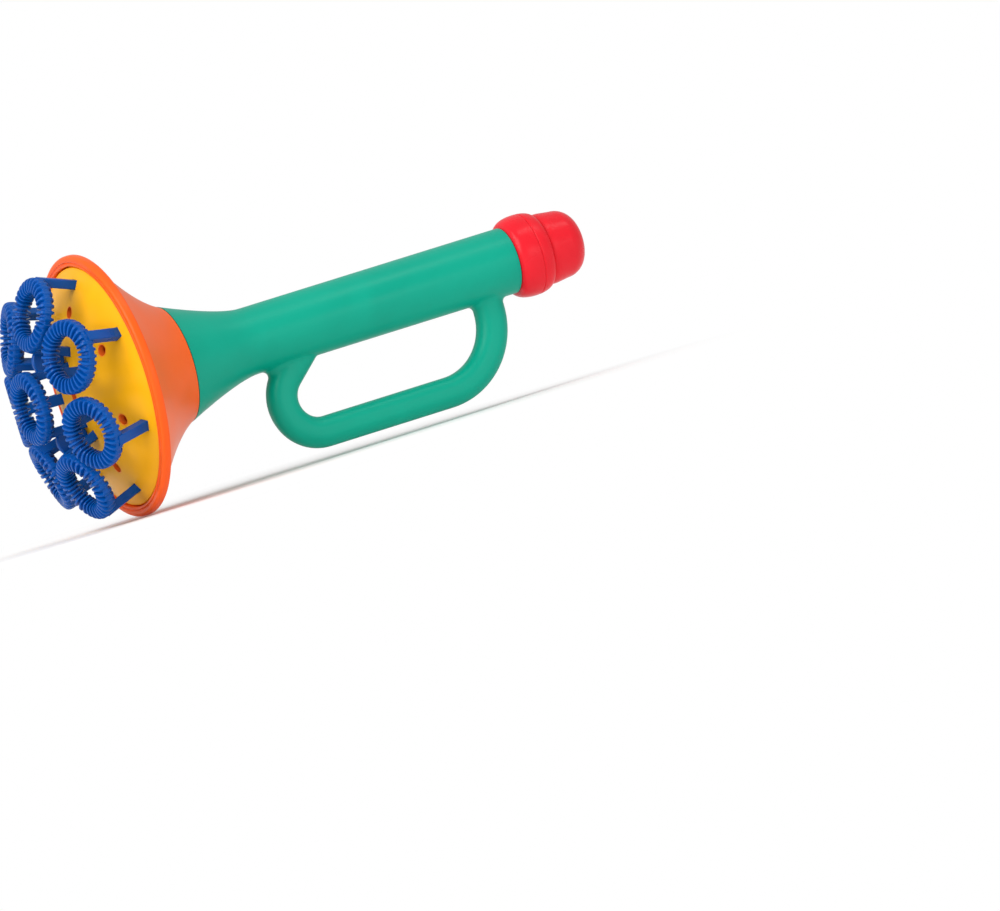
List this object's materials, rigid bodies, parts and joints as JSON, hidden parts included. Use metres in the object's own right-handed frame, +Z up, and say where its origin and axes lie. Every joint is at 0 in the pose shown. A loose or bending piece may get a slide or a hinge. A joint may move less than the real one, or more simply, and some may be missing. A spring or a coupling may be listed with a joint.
{
  "type": "bubble blower trumpet",
  "caption": "Toy bubble trumpet: flared bell with a domed nozzle plate and finned bubble rings, hollow tube with a loop handle, and a round mouthpiece.",
  "frame": {"origin": "centre of the bell's rim, where the rolled lip is widest", "axes": "+X along the blowing axis from the bell to the mouthpiece, +Z up, handle loop below the tube"},
  "size_m": [0.2408, 0.105, 0.105],
  "materials": {
    "green_plastic": "semi-gloss blow-moulded polyethylene",
    "orange_plastic": "semi-gloss moulded plastic",
    "yellow_plastic": "semi-gloss moulded plastic",
    "blue_plastic": "semi-gloss moulded plastic",
    "red_plastic": "gloss moulded plastic",
    "white_plastic": "matte moulded plastic",
    "soft_rubber": "matte soft rubber"
  },
  "bodies": {
    "body": {"trumpet_body": "green_plastic", "bell_seal": "soft_rubber"},
    "head": {"bell": "orange_plastic", "nozzle_dome": "yellow_plastic", "wand_retainer": "orange_plastic", "wand_1": "blue_plastic", "wand_2": "blue_plastic", "wand_3": "blue_plastic", "wand_4": "blue_plastic", "wand_5": "blue_plastic", "wand_6": "blue_plastic", "wand_7": "blue_plastic", "centre_wand": "blue_plastic"},
    "mouth": {"mouthpiece": "red_plastic", "valve_seat": "white_plastic"},
    "flap": {"valve_flap": "soft_rubber"}
  },
  "joints": [
    {"name": "bell_pull", "type": "slide", "parent": "body", "child": "head", "axis": [-1, 0, 0], "range_m": [0, 0.016]},
    {"name": "mouthpiece_pull", "type": "slide", "parent": "body", "child": "mouth", "axis": [1, 0, 0], "range_m": [0, 0.016]},
    {"name": "valve_swing", "type": "hinge", "parent": "mouth", "child": "flap", "pos_m": [0.1808, 0, 0.0083], "axis": [0, 1, 0], "range_deg": [0, 35], "stiffness_Nm_per_rad": 0.0004}
  ]
}
